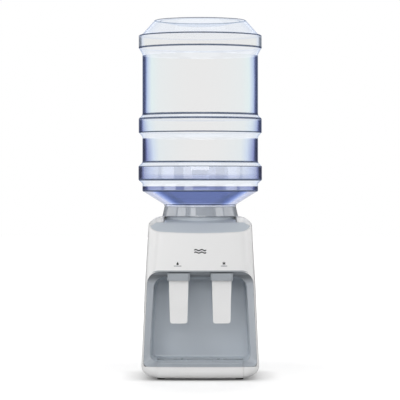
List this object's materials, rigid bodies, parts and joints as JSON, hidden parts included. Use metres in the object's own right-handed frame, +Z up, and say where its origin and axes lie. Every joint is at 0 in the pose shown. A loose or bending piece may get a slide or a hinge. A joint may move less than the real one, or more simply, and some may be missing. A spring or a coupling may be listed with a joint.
{
  "type": "countertop water dispenser",
  "caption": "Countertop water dispenser: white cabinet, grey cup bay with push-back taps and a drip tray, and an inverted clear bottle on a flared collar.",
  "frame": {"origin": "on the table under the middle of the machine, below the bottle's axis", "axes": "+Z up along the bottle's axis, +X to the right seen from the front, front towards -Y"},
  "size_m": [0.276, 0.2995, 0.796],
  "materials": {
    "white_plastic": "satin white ABS moulding",
    "grey_plastic": "fine satin blue-grey ABS moulding",
    "tank_plastic": "food-grade white polypropylene",
    "dark_plastic": "black moulded plastic",
    "clear_blue": "clear blue-tinted polycarbonate, glossy",
    "silicone_hose": "milky silicone tube",
    "rubber": "black rubber",
    "steel": "stainless steel",
    "aluminium": "plain extruded aluminium",
    "foam": "expanded polystyrene",
    "ceramic": "alumina plates",
    "circuit_board": "green solder mask"
  },
  "bodies": {
    "cabinet": {"front_shell": "white_plastic", "rear_hood": "white_plastic", "rear_cover": "white_plastic", "base_pan": "white_plastic", "foot_front_left": "rubber", "foot_front_right": "rubber", "foot_rear_left": "rubber", "foot_rear_right": "rubber", "bay_liner": "grey_plastic", "top_cover": "grey_plastic", "bottle_collar": "grey_plastic", "seat_funnel": "tank_plastic", "water_tank": "tank_plastic", "tank_separator": "tank_plastic", "transfer_tube": "silicone_hose", "cold_tank": "steel", "tank_insulation": "foam", "drain_plug": "rubber", "temperature_sensor": "dark_plastic", "tank_stand": "steel", "cold_block": "aluminium", "cooling_module": "ceramic", "heat_sink": "aluminium", "fan_frame": "dark_plastic", "power_board": "circuit_board", "switch_housing": "dark_plastic", "cable_gland": "dark_plastic", "rear_screw_1": "steel", "rear_screw_2": "steel", "rear_screw_3": "steel", "rear_screw_4": "steel", "ambient_hose": "silicone_hose", "cold_hose": "silicone_hose", "left_tap_cap": "grey_plastic", "left_tap_body": "grey_plastic", "left_tap_nut": "tank_plastic", "left_pivot_pin": "steel", "left_valve_spring": "steel", "right_tap_cap": "grey_plastic", "right_tap_body": "grey_plastic", "right_tap_nut": "tank_plastic", "right_pivot_pin": "steel", "right_valve_spring": "steel"},
    "left_lever": {"left_lever": "white_plastic"},
    "left_valve": {"left_valve_stem": "tank_plastic", "left_valve_seal": "rubber"},
    "right_lever": {"right_lever": "white_plastic"},
    "right_valve": {"right_valve_stem": "tank_plastic", "right_valve_seal": "rubber"},
    "fan": {"fan_rotor": "dark_plastic"},
    "drip_tray": {"drip_tray": "white_plastic"},
    "drip_grille": {"drip_grille": "grey_plastic"},
    "bottle": {"bottle": "clear_blue"},
    "power_switch": {"power_switch": "dark_plastic"}
  },
  "joints": [
    {"name": "left_lever_hinge", "type": "hinge", "parent": "cabinet", "child": "left_lever", "pos_m": [-0.047, -0.128, 0.2265], "axis": [1, 0, 0], "range_deg": [0, 12], "stiffness_Nm_per_rad": 0.2, "springref_deg": -8.59},
    {"name": "left_valve_slide", "type": "slide", "parent": "cabinet", "child": "left_valve", "axis": [0, 1, 0], "range_m": [0, 0.0045], "deforming": ["left_valve_spring"]},
    {"name": "right_lever_hinge", "type": "hinge", "parent": "cabinet", "child": "right_lever", "pos_m": [0.047, -0.128, 0.2265], "axis": [1, 0, 0], "range_deg": [0, 12], "stiffness_Nm_per_rad": 0.2, "springref_deg": -8.59},
    {"name": "right_valve_slide", "type": "slide", "parent": "cabinet", "child": "right_valve", "axis": [0, 1, 0], "range_m": [0, 0.0045], "deforming": ["right_valve_spring"]},
    {"name": "fan_spin", "type": "hinge", "parent": "cabinet", "child": "fan", "pos_m": [0, 0.1351, 0.185], "axis": [0, 1, 0], "continuous": true},
    {"name": "drip_tray_slide", "type": "slide", "parent": "cabinet", "child": "drip_tray", "axis": [0, -1, 0], "range_m": [0, 0.11]},
    {"name": "drip_grille_lift", "type": "slide", "parent": "drip_tray", "child": "drip_grille", "axis": [0, 0, 1], "range_m": [0, 0.05]},
    {"name": "bottle_lift", "type": "slide", "parent": "cabinet", "child": "bottle", "axis": [0, 0, 1], "range_m": [0, 0.12]},
    {"name": "power_switch_rock", "type": "hinge", "parent": "cabinet", "child": "power_switch", "pos_m": [-0.05, 0.144, 0.08], "axis": [1, 0, 0], "range_deg": [0, 14]}
  ],
  "couplings": [
    {"joint": "left_valve_slide", "follows": "left_lever_hinge", "m_per_rad": 0.0205},
    {"joint": "right_valve_slide", "follows": "right_lever_hinge", "m_per_rad": 0.0205}
  ]
}
